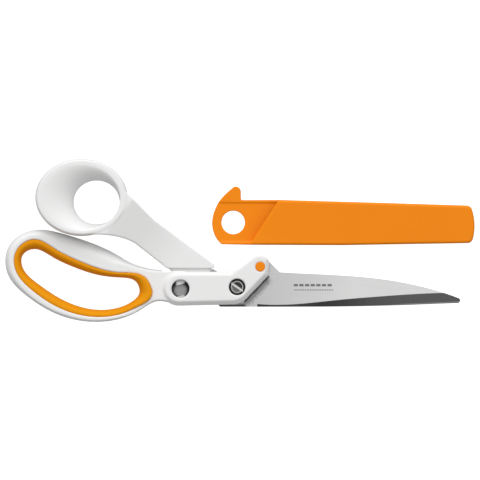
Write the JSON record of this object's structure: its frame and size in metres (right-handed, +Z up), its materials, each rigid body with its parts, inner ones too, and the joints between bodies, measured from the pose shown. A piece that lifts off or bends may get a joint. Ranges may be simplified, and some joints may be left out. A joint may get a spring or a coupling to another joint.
{
  "type": "fabric shears",
  "caption": "White-handled 254 mm bent-handle fabric shears, closed and lying flat, with an orange-lined finger loop and their orange blade sheath beside them.",
  "frame": {"origin": "on the pivot axis, at the outer face of the pivot nut, which is the surface the shears lie on", "axes": "+X towards the blade tips, +Y towards the thumb loop, +Z up along the pivot screw"},
  "size_m": [0.2618, 0.0911, 0.022],
  "materials": {
    "white_plastic": "satin",
    "orange_grip": "matte",
    "orange_plastic": "satin",
    "blade_steel": "brushed",
    "pivot_steel": "satin",
    "washer_plastic": "matte"
  },
  "bodies": {
    "upper_blade_body": {"upper_blade": "blade_steel", "load_stud": "blade_steel", "handle_pin": "pivot_steel"},
    "finger_handle_body": {"finger_handle": "white_plastic", "finger_grip": "orange_grip", "pin_cap": "orange_plastic"},
    "thumb_body": {"lower_blade": "blade_steel", "thumb_handle": "white_plastic", "pivot_nut": "pivot_steel", "pivot_bush": "pivot_steel", "pivot_screw": "pivot_steel", "screw_washer": "pivot_steel", "blade_washer": "washer_plastic"},
    "sheath_body": {"blade_sheath": "orange_plastic"}
  },
  "joints": [
    {"name": "blade_pivot", "type": "hinge", "parent": "upper_blade_body", "child": "thumb_body", "pos_m": [0, 0, 0], "axis": [0, 0, -1], "range_deg": [0, 25]},
    {"name": "handle_rock", "type": "hinge", "parent": "upper_blade_body", "child": "finger_handle_body", "pos_m": [0.0129, 0.0113, 0.01], "axis": [0, 0, 1], "range_deg": [0, 0.8]},
    {"name": "sheath_slide", "type": "slide", "parent": "upper_blade_body", "child": "sheath_body", "axis": [1, 0, 0], "range_m": [0, 0.2]}
  ]
}
